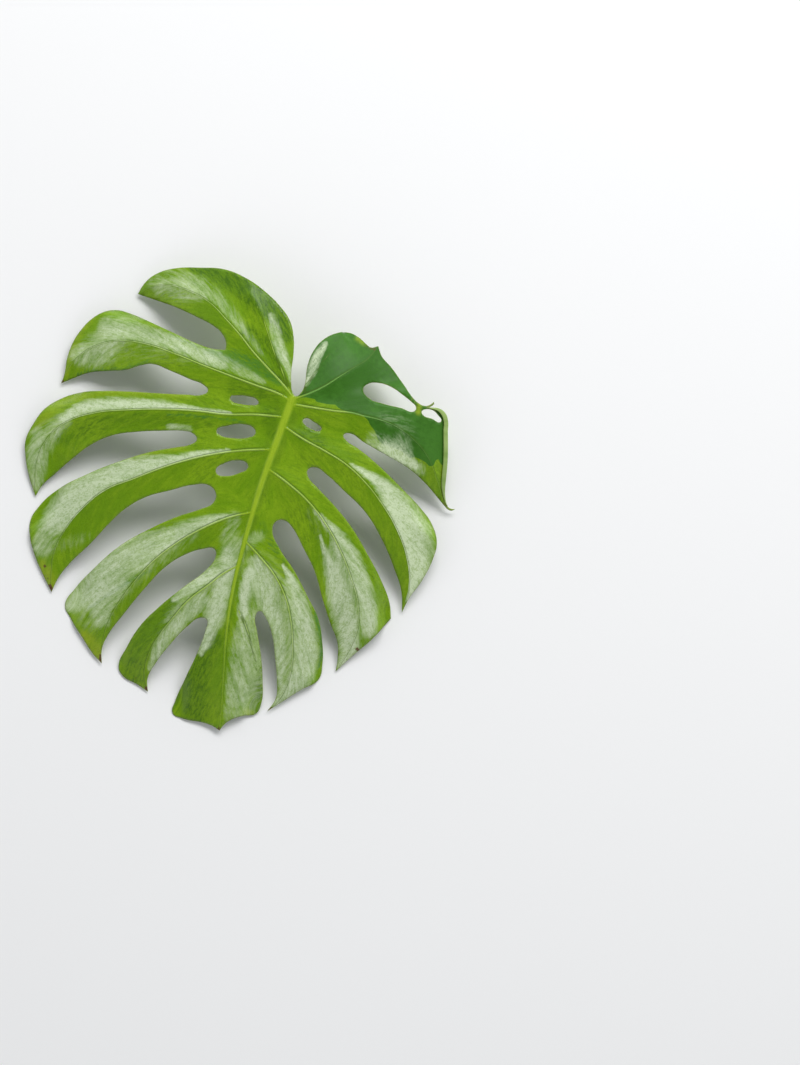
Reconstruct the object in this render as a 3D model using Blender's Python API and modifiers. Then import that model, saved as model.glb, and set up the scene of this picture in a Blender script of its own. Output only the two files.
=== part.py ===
"""A single leaf of a Swiss cheese plant, picked with its stalk and laid face up.

The blade is a thin arched sheet. Its outline, holes and veins are drawn flat, in a plan frame whose
origin is the notch where the stalk joins (the sinus), with +X to the leaf's right lobes and -Y towards
its tip. The plan is then lifted: the midrib is the spine of the arch, every side vein is the ridge of
its own lobe, and the free lobes sag until they lie on the surface. The stalk joins under the sinus and
lies beneath the midrib.
"""

import math

import bmesh
import bpy
import numpy as np
from mathutils import Vector
from mathutils.geometry import delaunay_2d_cdt, interpolate_bezier

NAME = "monstera_leaf"
MM = 0.001

# Driving dimensions, in metres
SINUS_HEIGHT = 90 * MM  # top of the arch above the surface
ARCH_LENGTH = 562 * MM  # midrib length at which the arch would reach the surface
ARCH_POWER = 2.4  # how late along the midrib the arch comes down
SIDE_FALL = 0.20  # slope that the sides settle at, away from the midrib
SIDE_REACH = 150 * MM  # distance over which the sides reach that slope
RIDGE_SLOPE = 0.27  # slope of a lobe just beside its vein
RIDGE_REACH = 30 * MM  # distance over which that slope dies away
VALLEY_ROUND = 7 * MM  # rounding of the valley between two veins
REST_ROUND = 3 * MM  # how softly a sagging lobe settles on the surface
BLEND_WIDTH = 6 * MM  # width over which neighbouring lobes share their sag

BLADE_THICKNESS = 1.0 * MM
MIDRIB_DEPTH = 8.0 * MM  # thickness at the midrib, at the sinus
VEIN_DEPTH = 3.5 * MM  # thickness at a side vein, where it leaves the midrib
MIDRIB_WIDTH = 15 * MM
VEIN_WIDTH = 6 * MM
LEAST_WIDTH_SHARE = 0.15  # a vein's width near its tip, as a share of the width at its root

MARGIN_STEP = 17 * MM  # spacing of the mesh along the margin
GRID_STEP = 24 * MM  # and inside the blade
LINE_STEP = 5 * MM  # spacing of the points that distances to a vein are taken from
RIB_CLEAR_OF_MARGIN = 0.25 * GRID_STEP  # least distance from a rib's mesh points to the margin,
RIB_CLEAR_OF_RIB = 0.06 * GRID_STEP  # from one rib's points to another's,
GRID_CLEAR = 0.6 * GRID_STEP  # and from the grid's points to all of those
ROW_RISE = GRID_STEP * math.sin(math.radians(60))  # between two rows of a triangular grid

CURVE_HANDLE = 0.39  # length of a smooth curve's handles, as a share of the distance to the next point
CORNER_HANDLE = 1 / 3  # the same at a sharp corner
WELD_DISTANCE = 0.01 * MM
SAME_POINT = 0.0001 * MM
SHARP_ANGLE = math.radians(40)

STALK_SIDES = 12

LEAF_GREEN = (0.16, 0.31, 0.035)
LEAF_ROUGHNESS = 0.42

CORNER = "corner"  # marks a margin point where the outline turns sharply

# The outline in millimetres, lobe by lobe, from the sinus round the left lobes to the tip and back.
MARGIN = (
    # left basal lobe
    (-7, 22), (-11, 42), (-13, 66), (-20, 97), (-31, 119), (-50, 137), (-78, 155), (-112, 170),
    (-150, 177.5), (-190, 172.5), (-230, 163.5), (-258, 149), (-273, 132), (-281, 112, CORNER),
    (-255, 108.5), (-215, 102.5), (-175, 93), (-148, 85), (-131, 75), (-122, 62), (-120.5, 51.5, CORNER),
    # first left lobe
    (-138, 49), (-165, 51.5), (-205, 60.5), (-250, 71), (-285, 78.7), (-310, 79.5), (-328, 71),
    (-345, 55), (-357, 36), (-366, 12), (-369.5, -15), (-368.5, -38), (-371, -54, CORNER),
    (-352, -41.5), (-330, -28.5), (-300, -19.5), (-270, -11.5), (-250, -1), (-231, 5.5), (-200, 1),
    (-165, -6), (-142, -10.5), (-134, -17.5),
    # second left lobe
    (-142, -26), (-165, -30.5), (-205, -37), (-250, -43.5), (-300, -52.5), (-340, -63.5), (-366, -78),
    (-386, -98), (-400, -127), (-407, -155), (-402, -180), (-390, -210), (-373, -240, CORNER),
    (-366, -221), (-350, -199), (-325, -167), (-300, -140), (-270, -119), (-230, -104.5),
    (-190, -94.5), (-158, -88), (-143, -89), (-135, -97),
    # third left lobe
    (-142, -106), (-165, -116), (-200, -130), (-250, -157), (-300, -190), (-345, -227), (-364, -254),
    (-373, -279), (-368, -304), (-353, -334), (-334, -361), (-315.5, -384.5, CORNER),
    (-309, -360), (-296, -334), (-270, -297), (-240, -249), (-222, -226), (-195, -203), (-160, -185),
    (-125, -168.5), (-101, -164), (-87.5, -174),
    # fourth left lobe
    (-88, -189), (-107, -204), (-140, -223), (-180, -252), (-220, -287), (-255, -332), (-279, -370),
    (-290, -401), (-277, -419), (-250, -447), (-230, -467), (-212.5, -479.5, CORNER),
    (-216.5, -458), (-211, -432), (-193, -394), (-167, -345), (-140, -303), (-115, -279.5),
    (-90, -265), (-71, -261), (-67, -273),
    # fifth left lobe
    (-79, -298), (-105, -328), (-140, -371), (-163, -406), (-178, -445), (-185, -479), (-176, -491.5),
    (-148, -501), (-130.5, -508.5, CORNER),
    (-135, -488), (-127, -460), (-108, -422), (-88, -390), (-70, -372.5), (-60, -374),
    # tip lobe
    (-59, -392), (-65, -430), (-75, -471), (-84.5, -513), (-84.5, -534), (-68, -538.5), (-30, -538),
    (-17, -540), (-5, -544.5, CORNER),
    (4, -529), (25, -514.5), (46, -506.5), (51.5, -488), (46, -450), (35, -410), (22, -375),
    (14.5, -352), (19, -342.5),
    # fifth right lobe
    (30, -350), (46, -375), (58, -410), (68, -445), (72.5, -474), (63.5, -498.5, CORNER),
    (83, -479), (110, -452.5), (133, -431.5), (134, -405), (127, -372), (113, -335), (90, -305),
    (60, -268), (30, -238), (13, -213), (15, -198), (28, -193),
    # fourth right lobe
    (43, -202), (65, -228), (90, -260), (112, -301), (133, -339), (150, -366), (156, -392),
    (157, -413, CORNER),
    (178, -383), (203, -350), (226, -311, CORNER),
    (219, -288), (200, -257), (170, -220), (135, -182), (100, -153), (68, -131), (50, -117),
    (47.5, -107), (58, -100.5), (78, -108),
    # third right lobe
    (110, -127), (150, -153), (185, -190), (215, -233), (233, -265), (241, -298, CORNER),
    (247, -275), (262, -240), (272, -200), (272, -176), (258, -149), (235, -128), (200, -104.5),
    (155, -76), (118, -57), (97, -48.5), (91, -41), (99, -36.5),
    # second right lobe, ending in a thin tail
    (125, -45.5), (165, -58), (205, -71.5), (232, -86.5), (262, -109), (271, -116), (278.5, -121),
    (285, -121.3), (289.5, -117.5, CORNER),
    (283.5, -118.6), (276, -115.5), (270, -106), (265.5, -92), (262, -68), (259, -45), (254, -20),
    (249.5, 0), (246, 17), (240, 26.5), (230, 31.5), (219, 31), (212.5, 30.2, CORNER),
    # right basal lobe, from its thin tail back to the sinus
    (217, 33.5), (220.8, 38.5), (220, 42, CORNER),
    (217.5, 38.5), (212.5, 34), (206, 32), (198, 33.5), (188.5, 38.5), (163, 62), (141, 82), (124, 94.5),
    (120, 100), (114.5, 110.2, CORNER),
    (103, 105.2), (96, 108.5), (80, 117.5), (64, 121), (45, 114.5), (28, 100), (17, 80), (12.5, 57),
    (13, 42), (14.6, 27), (11, 9), (4.5, 2.8), (-2, 8),
)

# The holes in millimetres: three left of the midrib, one right of it, and two that a thin strip closes.
HOLES = (
    ((-97, -20), (-88, -16), (-70, -13.5), (-56, -15), (-51, -21), (-60, -25.5), (-78, -27.5),
     (-93, -26)),
    ((-107, -77), (-92, -66), (-65, -58), (-49, -61.5), (-46, -69), (-58, -78), (-80, -83),
     (-98, -83)),
    ((-95, -138), (-84, -125), (-65, -116), (-50, -116.5), (-46, -123), (-58, -135), (-78, -144),
     (-91, -144)),
    ((23.5, -32), (29, -27.3), (38, -30), (50, -34.5), (55, -39), (51, -44), (41, -43), (29, -39)),
    ((106, 37), (112, 47), (130, 52.5), (148, 50.5), (168, 42), (186, 33), (194, 27), (193, 20.5),
     (170, 20.5), (140, 21), (118, 24.5)),
    ((204, 22), (208, 26.5), (221, 28), (230, 23), (237.5, 13.5), (222, 14.8), (208, 17)),
)

MIDRIB = ((0, -2), (-4, -30), (-8, -60), (-15, -110), (-20, -150), (-24, -200), (-27, -250), (-29, -300),
          (-28, -350), (-24, -400), (-17, -450), (-10, -500), (-5, -543))

# Side veins in millimetres, each from the midrib to its lobe's tip: the line, how far along it the lobe
# comes free of its neighbours, and the height at which the lobe's tip ends.
SIDE_VEINS = {
    "left_basal": (((-2, 2), (-20, 17), (-50, 38), (-80, 60), (-100, 77), (-130, 99), (-160, 119),
                    (-200, 132), (-240, 134), (-268, 122), (-280, 112)), 130, 6),
    "left_1": (((-4, -6), (-20, 0), (-60, 6), (-100, 12), (-150, 20), (-200, 29), (-240, 34), (-280, 33),
                (-320, 20), (-350, -5), (-365, -33), (-370, -53)), 130, 4),
    "left_2": (((-8, -34), (-50, -39), (-100, -49), (-140, -52.5), (-200, -62), (-260, -76), (-300, -88),
                (-350, -116), (-372, -145), (-381, -180), (-378, -215), (-373, -239)), 140, 2),
    "left_3": (((-12, -87), (-60, -99), (-100, -113), (-140, -131), (-180, -153), (-220, -179),
                (-260, -205), (-290, -240), (-312, -280), (-323, -320), (-321, -355), (-316, -383)),
               140, 3),
    "left_4": (((-22, -190), (-60, -208), (-100, -236), (-130, -263), (-160, -297), (-182, -332),
                (-200, -368), (-212, -402), (-217, -435), (-216, -460), (-213, -478)), 95, 3),
    "left_5": (((-28, -278), (-50, -297), (-65, -315), (-95, -350), (-115, -385), (-130, -415),
                (-140, -445), (-142, -475), (-137, -495), (-131, -507)), 85, 2),
    "right_5": (((-26, -238), (5, -260), (30, -281), (55, -313), (70, -345), (80, -378), (86, -410),
                 (86, -445), (78, -475), (64, -497)), 105, 3),
    "right_4": (((-16, -118), (20, -134), (60, -157), (95, -187), (125, -222), (150, -260), (170, -300),
                 (177, -335), (172, -370), (158, -410)), 70, 2),
    "right_3": (((-6, -47), (30, -61), (70, -73), (105, -86), (140, -107), (170, -132), (205, -170),
                 (232, -215), (243, -255), (241, -296)), 80, 3),
    "right_2": (((2, -11), (40, -9), (70, -7), (97, -4), (116, -5), (141, -5.5), (168, -10), (200, -24),
                 (230, -48), (252, -80), (268, -108)), 105, 16),
    "right_basal": (((5, -1), (27, 13), (46, 28), (65, 47), (82, 64), (102, 84), (114, 108)), 60, 40),
}

# Folds without a lobe of their own: the inner vein of the left basal lobe, and the raised edge beside
# the sinus.
INNER_FOLDS = (
    ((-5, 6), (-20, 30), (-40, 58), (-55, 82), (-68, 105), (-84, 127), (-102, 147)),
    ((11, 12), (13.5, 40), (14.5, 66), (24, 92)),
)

# The stalk in millimetres, as (x, y, height, radius) of its centre line: from the cut end, which lies
# under the midrib, up to the swollen knee below the sinus, and over into the base of the midrib.
STALK = ((-26, -305, 6.5, 6.5), (-20, -235, 6.4, 6.4), (-13, -170, 6.6, 6.3), (-8, -125, 9, 6.2),
         (-4, -88, 16, 6.2), (-1, -60, 27, 6.3), (1, -38, 42, 6.6), (2.5, -19, 58, 7.2), (3, -8, 71, 7.4),
         (1, -10, 82, 7), (-2, -22, 84.5, 5.6), (-4, -36, 85.5, 4))


def bezier_handles(before, here, after, sharp):
    """Handle offsets that run smoothly through a point, or aim at its neighbours at a sharp corner."""
    back, ahead = before - here, after - here
    if sharp:
        return back * CORNER_HANDLE, ahead * CORNER_HANDLE
    along = (ahead.normalized() - back.normalized()).normalized()
    return -along * back.length * CURVE_HANDLE, along * ahead.length * CURVE_HANDLE


def smooth_line(points, step, closed=False):
    """Points about a step apart on the curve through points in millimetres, as 2D vectors in metres."""
    knots = [Vector(p[:2]) * MM for p in points]
    count = len(knots)
    handles = []
    for i, knot in enumerate(knots):
        before = knots[i - 1] if closed or i else 2 * knot - knots[1]
        after = knots[(i + 1) % count] if closed or i < count - 1 else 2 * knot - knots[-2]
        handles.append(bezier_handles(before, knot, after, points[i][-1] == CORNER))
    line = []
    for i in range(count if closed else count - 1):
        j = (i + 1) % count
        pieces = max(1, round((knots[j] - knots[i]).length / step))
        leave, arrive = knots[i] + handles[i][1], knots[j] + handles[j][0]
        curve = interpolate_bezier(knots[i], leave, arrive, knots[j], pieces + 1)
        line += [p.to_2d() for p in curve[:-1]]
    return line if closed else line + [knots[-1]]


def nearest_on_line(points, line):
    """Each point's distance to a line, and how far along the line the nearest place is."""
    line = np.array([tuple(p) for p in line])
    starts, runs = line[:-1], np.diff(line, axis=0)
    lengths = np.linalg.norm(runs, axis=1)
    before = np.concatenate([[0], np.cumsum(lengths)[:-1]])
    away = points[:, None, :] - starts
    share = np.clip((away * runs).sum(axis=2) / lengths**2, 0, 1)
    distance = np.linalg.norm(away - share[:, :, None] * runs, axis=2)
    nearest = distance.argmin(axis=1)
    rows = np.arange(len(points))
    return distance[rows, nearest], before[nearest] + share[rows, nearest] * lengths[nearest]


def arch_height(points):
    """Height of the arch alone: down along the midrib towards the tip, and down to both sides of it."""
    aside, along = nearest_on_line(points, smooth_line(MIDRIB, LINE_STEP))
    return (
        SINUS_HEIGHT * (1 - (along / ARCH_LENGTH) ** ARCH_POWER)
        - SIDE_FALL * aside**2 / (aside + SIDE_REACH)
    )


def blade_height(points):
    """Height of the blade's upper face over points of the plan."""
    nearest = [nearest_on_line(points, smooth_line(MIDRIB, LINE_STEP))]
    sags = [np.zeros(len(points))]
    for line, free_from, tip_height in SIDE_VEINS.values():
        line = smooth_line(line, LINE_STEP)
        aside, along = nearest_on_line(points, line)
        tip = np.array([tuple(line[-1])])
        length = nearest_on_line(tip, line)[1][0]
        sag = arch_height(tip)[0] - tip_height * MM
        nearest.append((aside, along))
        sags.append(sag * np.clip((along - free_from * MM) / (length - free_from * MM), 0, None) ** 2)
    aside = np.array([distance for distance, _ in nearest])
    share = np.exp(-(aside - aside.min(axis=0)) / BLEND_WIDTH)
    sag = (share * np.array(sags)).sum(axis=0) / share.sum(axis=0)
    folds = [nearest_on_line(points, smooth_line(fold, LINE_STEP))[0] for fold in INNER_FOLDS]
    ridges = np.concatenate([aside, np.array(folds)])
    fold = -VALLEY_ROUND * np.log(np.exp(-ridges / VALLEY_ROUND).sum(axis=0))
    fall = RIDGE_SLOPE * RIDGE_REACH * (1 - np.exp(-np.clip(fold, 0, None) / RIDGE_REACH))
    height = arch_height(points) - sag - fall
    return (height + np.sqrt(height**2 + 4 * REST_ROUND**2)) / 2


def inside(points, loops):
    """Which points lie on the blade: an odd number of crossings of the margin and the holes."""
    crossings = np.zeros(len(points), int)
    for loop in loops:
        start = np.array([tuple(p) for p in loop])
        end = np.roll(start, -1, axis=0)
        spans = (start[:, 1] > points[:, 1:2]) != (end[:, 1] > points[:, 1:2])
        rise = np.where(end[:, 1] == start[:, 1], 1, end[:, 1] - start[:, 1])
        cross = start[:, 0] + (points[:, 1:2] - start[:, 1]) * (end[:, 0] - start[:, 0]) / rise
        crossings += (spans & (points[:, :1] < cross)).sum(axis=1)
    return crossings % 2 == 1


def rib_lines():
    """Every vein as (line, depth at each of its points, width at each of its points), tapering off."""
    ribs = []
    veins = [(MIDRIB, MIDRIB_DEPTH, MIDRIB_WIDTH)]
    veins += [(line, VEIN_DEPTH, VEIN_WIDTH) for line, _, _ in SIDE_VEINS.values()]
    for points, depth, width in veins:
        line = smooth_line(points, GRID_STEP)
        count = len(line)
        taper = [1 - i / (count - 1) for i in range(count)]
        depths = [BLADE_THICKNESS + (depth - BLADE_THICKNESS) * t for t in taper]
        widths = [width * max(t, LEAST_WIDTH_SHARE) for t in taper]
        ribs.append((line, depths, widths))
    return ribs


def rib_points(line, depths, widths):
    """A vein's mesh points as (place, thickness): its ridge, and its two feet on the plain blade."""
    found = []
    for i in range(1, len(line) - 1):
        along = (line[i + 1] - line[i - 1]).normalized()
        across = Vector((-along.y, along.x)) * widths[i] / 2
        found.append((line[i], depths[i]))
        found.append((line[i] + across, BLADE_THICKNESS))
        found.append((line[i] - across, BLADE_THICKNESS))
    return found


def plan_points(loops):
    """The mesh points inside the blade as (place, thickness): the ribs, and a triangular grid."""
    ribs = [p for rib in rib_lines() for p in rib_points(*rib)]
    margin = np.array([tuple(p) for loop in loops for p in loop])
    low, high = margin.min(axis=0), margin.max(axis=0)
    kept, places = [], []
    for place, thickness in ribs:
        clear = np.linalg.norm(margin - np.array(place), axis=1).min() > RIB_CLEAR_OF_MARGIN
        if places:
            gap = np.linalg.norm(np.array(places) - np.array(place), axis=1).min()
            clear &= gap > RIB_CLEAR_OF_RIB
        if clear:
            kept.append((place, thickness))
            places.append(tuple(place))
    fixed = np.concatenate([margin, np.array(places)])
    rows = math.ceil((high[1] - low[1]) / ROW_RISE)
    columns = math.ceil((high[0] - low[0]) / GRID_STEP)
    grid = []
    for row in range(rows):
        for column in range(columns):
            x = low[0] + (column + 0.5 * (row % 2)) * GRID_STEP
            y = low[1] + row * ROW_RISE
            if np.linalg.norm(fixed - (x, y), axis=1).min() > GRID_CLEAR:
                grid.append((x, y))
    on_blade = inside(np.array(grid), loops)
    kept += [(Vector(p), BLADE_THICKNESS) for p, on in zip(grid, on_blade) if on]
    places = np.array([tuple(p) for p, _ in kept])
    return [k for k, on in zip(kept, inside(places, loops)) if on]


def new_object(name, mesh, collection):
    obj = bpy.data.objects.new(name, mesh)
    collection.objects.link(obj)
    return obj


def make_blade(collection):
    """The blade as an open sheet, thickened downwards: thin between the veins and deep along them."""
    loops = [smooth_line(MARGIN, MARGIN_STEP, closed=True)]
    loops += [smooth_line(hole, MARGIN_STEP, closed=True) for hole in HOLES]
    points, edges, thickness = [], [], []
    for loop in loops:
        first = len(points)
        points += loop
        edges += [(first + i, first + (i + 1) % len(loop)) for i in range(len(loop))]
        thickness += [BLADE_THICKNESS] * len(loop)
    for place, depth in plan_points(loops):
        points.append(place)
        thickness.append(depth)
    places, _, faces, sources, _, _ = delaunay_2d_cdt(points, edges, [], 0, SAME_POINT)
    plan = np.array([tuple(p) for p in places])
    centres = np.array([plan[list(face)].mean(axis=0) for face in faces])
    faces = [face for face, on in zip(faces, inside(centres, loops)) if on]
    heights = blade_height(plan)

    mesh = bpy.data.meshes.new(NAME)
    sheet = bmesh.new()
    weights = sheet.verts.layers.deform.verify()
    corners = [sheet.verts.new((x, y, z)) for (x, y), z in zip(plan, heights)]
    for face in faces:
        sheet.faces.new([corners[i] for i in face])
    deepest = MIDRIB_DEPTH - BLADE_THICKNESS
    for corner, source in zip(corners, sources):
        depth = max(thickness[i] for i in source)
        corner[weights][0] = (depth - BLADE_THICKNESS) / deepest
    bmesh.ops.delete(sheet, geom=[v for v in sheet.verts if not v.link_faces], context="VERTS")
    sheet.to_mesh(mesh)
    sheet.free()

    blade = new_object(NAME, mesh, collection)
    blade.vertex_groups.new(name="rib depth")
    solidify = blade.modifiers.new("thickness", "SOLIDIFY")
    solidify.thickness = MIDRIB_DEPTH
    solidify.vertex_group = "rib depth"
    solidify.thickness_vertex_group = BLADE_THICKNESS / MIDRIB_DEPTH
    solidify.offset = -1
    return blade


def make_stalk(collection):
    """The stalk as a round tube: a bevelled curve, made a mesh so that it can be joined to the blade."""
    data = bpy.data.curves.new("stalk", "CURVE")
    data.dimensions = "3D"
    data.bevel_depth = 1 * MM
    data.bevel_resolution = STALK_SIDES // 4 - 1
    data.use_fill_caps = True
    data.resolution_u = 3
    spline = data.splines.new("BEZIER")
    spline.bezier_points.add(len(STALK) - 1)
    for point, (x, y, height, radius) in zip(spline.bezier_points, STALK):
        point.co = Vector((x, y, height)) * MM
        point.handle_left_type = point.handle_right_type = "AUTO"
        point.radius = radius
    curve = new_object("stalk curve", data, collection)
    bpy.context.view_layer.update()
    graph = bpy.context.evaluated_depsgraph_get()
    mesh = bpy.data.meshes.new_from_object(curve.evaluated_get(graph))
    welded = bmesh.new()
    welded.from_mesh(mesh)
    bmesh.ops.remove_doubles(welded, verts=welded.verts, dist=WELD_DISTANCE)
    bmesh.ops.recalc_face_normals(welded, faces=welded.faces)
    welded.to_mesh(mesh)
    welded.free()
    bpy.data.objects.remove(curve)
    stalk = new_object("stalk", mesh, collection)
    stalk.hide_render = True
    stalk.display_type = "WIRE"
    return stalk


def leaf_material():
    material = bpy.data.materials.new("leaf")
    material.use_nodes = True
    shader = material.node_tree.nodes["Principled BSDF"]
    shader.inputs["Base Color"].default_value = (*LEAF_GREEN, 1)
    shader.inputs["Roughness"].default_value = LEAF_ROUGHNESS
    shader.inputs["Metallic"].default_value = 0
    return material


def settle(obj):
    """Bakes the leaf's shape and puts its frame's origin under the middle of its box, on the surface."""
    bpy.context.view_layer.update()
    graph = bpy.context.evaluated_depsgraph_get()
    mesh = bpy.data.meshes.new_from_object(obj.evaluated_get(graph))
    places = np.array([v.co[:] for v in mesh.vertices])
    low, high = places.min(axis=0), places.max(axis=0)
    obj.location = (-(low[0] + high[0]) / 2, -(low[1] + high[1]) / 2, -low[2])
    obj.modifiers.clear()
    obj.data = mesh


def main():
    for obj in list(bpy.data.objects):
        bpy.data.objects.remove(obj)
    parts = bpy.data.collections.new("monstera leaf")
    helpers = bpy.data.collections.new("helpers")
    for collection in (parts, helpers):
        bpy.context.scene.collection.children.link(collection)
    leaf = make_blade(parts)
    stalk = make_stalk(helpers)
    join = leaf.modifiers.new("stalk", "BOOLEAN")
    join.operation = "UNION"
    join.object = stalk
    settle(leaf)
    leaf.data.materials.clear()
    leaf.data.materials.append(leaf_material())
    leaf.data.shade_smooth()
    leaf.data.set_sharp_from_angle(angle=SHARP_ANGLE)
    bpy.data.objects.remove(stalk)


main()
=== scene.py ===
import math

import bmesh
import bpy
import numpy as np
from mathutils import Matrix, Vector, noise
from mathutils.geometry import delaunay_2d_cdt, interpolate_bezier
from mathutils.kdtree import KDTree


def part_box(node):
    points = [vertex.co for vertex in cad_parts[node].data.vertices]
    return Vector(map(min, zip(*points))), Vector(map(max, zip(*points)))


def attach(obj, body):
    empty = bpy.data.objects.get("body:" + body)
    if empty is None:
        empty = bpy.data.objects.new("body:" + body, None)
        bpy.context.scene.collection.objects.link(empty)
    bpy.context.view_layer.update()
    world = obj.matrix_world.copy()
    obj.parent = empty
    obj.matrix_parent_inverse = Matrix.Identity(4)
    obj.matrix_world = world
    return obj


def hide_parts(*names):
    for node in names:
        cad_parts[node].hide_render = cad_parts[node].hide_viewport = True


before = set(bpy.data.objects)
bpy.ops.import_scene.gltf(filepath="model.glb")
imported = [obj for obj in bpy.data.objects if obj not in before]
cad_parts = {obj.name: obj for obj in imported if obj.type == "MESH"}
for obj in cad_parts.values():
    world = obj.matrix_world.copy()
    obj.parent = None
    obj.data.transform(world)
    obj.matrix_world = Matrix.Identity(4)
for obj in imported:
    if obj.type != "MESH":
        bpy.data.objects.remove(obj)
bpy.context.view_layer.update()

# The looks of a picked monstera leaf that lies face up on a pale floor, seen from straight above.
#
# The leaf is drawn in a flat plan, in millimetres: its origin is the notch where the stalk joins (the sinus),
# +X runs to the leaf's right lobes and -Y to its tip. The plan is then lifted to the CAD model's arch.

NODE = "monstera_leaf"
BODY = "root"
MM = 0.001

# --- Form, in metres ---

SINUS_HEIGHT = 90 * MM  # top of the arch above the surface
ARCH_LENGTH = 562 * MM  # midrib length at which the arch would reach the surface
ARCH_POWER = 2.4  # how late along the midrib the arch comes down
SIDE_FALL = 0.20  # slope that the sides settle at, away from the midrib
SIDE_REACH = 150 * MM  # distance over which the sides reach that slope
RIDGE_SLOPE = 0.27  # slope of a lobe just beside its vein
RIDGE_REACH = 30 * MM  # distance over which that slope dies away
VALLEY_ROUND = 7 * MM  # rounding of the valley between two veins
REST_ROUND = 3 * MM  # how softly a sagging lobe settles on the surface
BLEND_WIDTH = 6 * MM  # width over which neighbouring lobes share what they have

# Pairs below are for a vein's root and its tip.
TAPER_POWER = 1.5  # how early along a vein it gets thin
VEIN_HALF = {"midrib": (7.8 * MM, 0.8 * MM), "side": (1.7 * MM, 0.6 * MM)}  # half its width
FINE_VEIN_HALF = (1.3, 0.4)  # the same of a fine vein, in millimetres
VEIN_DOME = {"midrib": (1.2 * MM, 0.25 * MM), "side": (0.5 * MM, 0.15 * MM)}  # how far it stands up
DOME_POWER = 0.8  # the lower, the fuller the dome's sides
FLAT_DOME = 0.05 * MM  # a furrow is only cut where the dome is lower than this
FURROW_DEPTH = 0.35 * MM  # the furrow on both sides of a vein
FURROW_PLACE = (0.6, 1.05, 2.2)  # where it starts, is deepest and ends, in half widths from the vein's middle
FURROW_FADE = (0.75, 1)  # the shares of the vein's length between which it fades
BLADE_THICKNESS = 0.7 * MM
RIB_DEPTH = {"midrib": 7.5 * MM, "side": 3.2 * MM}  # thickness at the root of a vein, with its rib below
RIB_HALF = (1.25, 0.6 * MM)  # half its width: so many of its vein's, and so much more

PLEAT_HEIGHT = 0.09 * MM  # soft pleats between the lateral veins
PLEAT_PITCH = 11 * MM
PLEAT_DRIFT = 0.9  # how far they wander, in pitches,
DRIFT_PITCH = 40 * MM  # and over what distance
CALM_SEAM = 14 * MM  # distance over which they come up from a valley,
CALM_MARGIN = 5 * MM  # and from the margin
STREAK_ANGLE = math.radians(20)  # of the lateral veins, beside any vein
FLANK_SHIFT = 0.4  # keeps the patterns on the two flanks of a vein apart
WAVE_HEIGHT = 2.2 * MM  # long waves of the margin
WAVE_PITCH = 85 * MM
WAVE_REACH = 40 * MM  # distance from the margin at which they end
WAVE_LAYER = 50 * MM  # where they lie in the noise, apart from the drift

ROLL_ENDS = ((276, -115.5), (214, 30.4))  # the stretch of margin that is rolled up, in millimetres
ROLL_RADIUS = 1.6 * MM
ROLL_WIDTH = 5.0 * MM  # how far it lies back over the blade
ROLL_RISE = 0.25  # and how steeply
ROLL_FULL = (0.25, 0.8)  # shares of its length between which it has that size
ROLL_LEAST = (0.2, 0.05)  # shares of the radius and width left at its ends
ROLL_TURNS = (0.4, math.pi, 7)  # its round rows: first and last turn, and how many
ROLL_FLATS = (0.3, 0.65, 1.0)  # its flat rows, as shares of the width

MARGIN_STEP = 3.0 * MM  # spacing of the mesh along the margin,
GRID_STEP = 3.7 * MM  # inside the blade,
VEIN_STEP = 3.2 * MM  # and along the veins
VEIN_ROWS = (0, 0.35, 0.7, 1.0, 1.35, 1.9)  # rows of mesh beside a vein, in half widths
ROW_HALF = 0.9 * MM  # the least that such a half width counts as
ROW_CLEARANCE = 0.75 * MM  # least distance from a row to what is there before it,
GRID_CLEARANCE = 0.6 * GRID_STEP  # and from the grid to both
LINE_STEP = 4 * MM  # spacing of the points that distances to a vein are taken from,
FINE_STEP = 0.7 * MM  # and to the margin
SAME_POINT = 1e-7
SMOOTH_HANDLE = 0.39  # length of a curve's handle, as a share of the distance to the next point
BATCH = 4000  # points whose distances are worked out at once
TREE_ROOM = 200_000  # points that a search tree has room for
WELD = 0.01 * MM
CUT_ANGLE = math.radians(50)  # a sharper edge than this is left sharp on the stalk

CORNER = "corner"  # marks a margin point where the outline turns sharply

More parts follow.
